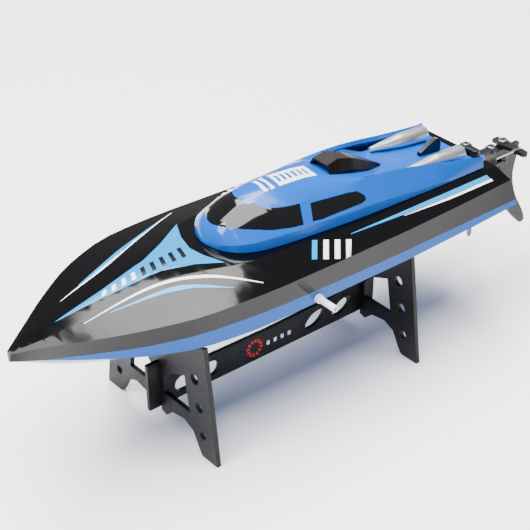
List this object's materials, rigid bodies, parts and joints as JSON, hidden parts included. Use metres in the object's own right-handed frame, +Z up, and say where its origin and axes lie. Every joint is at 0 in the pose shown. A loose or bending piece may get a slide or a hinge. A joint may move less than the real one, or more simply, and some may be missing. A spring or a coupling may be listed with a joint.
{
  "type": "racing rc boat on a display stand",
  "caption": "Deep-vee toy racing boat with a lift-off canopy, screw propeller, servo-steered stern rudder and cooling outlet, resting on a slotted plate stand.",
  "frame": {"origin": "on the floor under the stand, below the middle of the overall length, on the centreline", "axes": "+X towards the bow, +Y to port, +Z up"},
  "size_m": [0.3616, 0.1081, 0.1206],
  "materials": {
    "hull_blue": "gloss moulded",
    "canopy_blue": "gloss moulded",
    "deck_black": "high gloss with printed stripes",
    "window_dark": "high gloss",
    "exhaust_silver": "brushed silver",
    "trim_black": "gloss",
    "scoop_dark": "gloss",
    "moulded_black": "satin moulded",
    "silicone": "soft matt",
    "knob_red": "satin",
    "steel": "drawn",
    "brass": "drawn",
    "alloy": "turned",
    "motor_can": "plated can",
    "propeller_grey": "glass-filled nylon",
    "battery_wrap": "shrink wrap",
    "strap_fabric": "hook and loop",
    "board_green": "circuit board",
    "chip_black": "moulded",
    "servo_blue": "moulded",
    "screw_steel": "plated",
    "horn_white": "nylon",
    "nipple_white": "nylon",
    "wire_red": "insulated",
    "wire_black": "insulated",
    "stand_black": "fine woven texture"
  },
  "bodies": {
    "stand": {"stand_plate_rear": "stand_black", "stand_plate_front": "stand_black", "stand_board": "stand_black"},
    "hull": {"hull_tub": "hull_blue", "deck_moulding": "deck_black", "stuffing_tube": "brass", "motor": "motor_can", "cooling_jacket": "alloy", "shaft_strut": "alloy", "motor_mount": "moulded_black", "battery_tray": "moulded_black", "battery": "battery_wrap", "battery_strap": "strap_fabric", "board_shelf": "moulded_black", "receiver_board": "board_green", "board_chips": "chip_black", "rudder_servo": "servo_blue", "servo_mount": "moulded_black", "servo_screws": "screw_steel", "pushrod_boot": "silicone", "rudder_bracket": "moulded_black", "bracket_screws": "screw_steel", "latch_screw": "screw_steel", "water_pickup": "brass", "water_outlet": "nipple_white", "cooling_hose_in": "silicone", "cooling_hose_out": "silicone", "motor_wires": "wire_red", "battery_lead": "wire_red", "servo_wire": "wire_black", "antenna_wire": "wire_black"},
    "canopy": {"canopy": "canopy_blue", "windscreen": "window_dark", "side_windows": "window_dark", "exhaust_port": "exhaust_silver", "exhaust_starboard": "exhaust_silver", "stern_fin": "trim_black", "air_scoop": "scoop_dark"},
    "hatch": {"hatch_cover": "moulded_black", "hatch_seal": "silicone"},
    "hatch_knob": {"hatch_knob": "knob_red"},
    "canopy_latch": {"canopy_latch": "moulded_black"},
    "driveline": {"drive_shaft": "steel", "drive_dog": "brass", "shaft_coupling": "alloy", "motor_shaft": "steel", "propeller_nut": "steel", "propeller": "propeller_grey"},
    "rudder": {"rudder_blade": "moulded_black", "tiller_arm": "moulded_black", "rudder_pin": "screw_steel"},
    "servo_horn": {"servo_horn": "horn_white"},
    "pushrod": {"pushrod": "steel"}
  },
  "joints": [
    {"name": "hull_lift", "type": "slide", "parent": "stand", "child": "hull", "axis": [0, 0, 1], "range_m": [0, 0.08]},
    {"name": "canopy_lift", "type": "slide", "parent": "hull", "child": "canopy", "axis": [0, 0, 1], "range_m": [0, 0.06]},
    {"name": "hatch_lift", "type": "slide", "parent": "hull", "child": "hatch", "axis": [0, 0, 1], "range_m": [0, 0.03]},
    {"name": "hatch_knob_turn", "type": "hinge", "parent": "hatch", "child": "hatch_knob", "pos_m": [0.002, 0, 0.104], "axis": [0, 0, 1], "range_deg": [0, 90]},
    {"name": "canopy_latch_turn", "type": "hinge", "parent": "hull", "child": "canopy_latch", "pos_m": [-0.117, 0.008, 0.095], "axis": [0, 0, 1], "range_deg": [-90, 0]},
    {"name": "propeller_spin", "type": "hinge", "parent": "hull", "child": "driveline", "pos_m": [-0.137, 0, 0.04], "axis": [0.9724, 0, 0.2334], "continuous": true},
    {"name": "rudder_turn", "type": "hinge", "parent": "hull", "child": "rudder", "pos_m": [-0.1575, 0, 0.075], "axis": [0, 0, 1], "range_deg": [-30, 30]},
    {"name": "servo_horn_turn", "type": "hinge", "parent": "hull", "child": "servo_horn", "pos_m": [-0.092, 0, 0.08], "axis": [0, 0, 1], "range_deg": [-30, 30]},
    {"name": "pushrod_swing", "type": "hinge", "parent": "servo_horn", "child": "pushrod", "pos_m": [-0.092, 0.013, 0.083], "axis": [0, 0, 1], "range_deg": [-30, 30]}
  ],
  "couplings": [
    {"joint": "hatch_lift", "follows": "canopy_lift", "ratio": 0.5},
    {"joint": "servo_horn_turn", "follows": "rudder_turn", "ratio": 1},
    {"joint": "pushrod_swing", "follows": "rudder_turn", "ratio": -1}
  ]
}
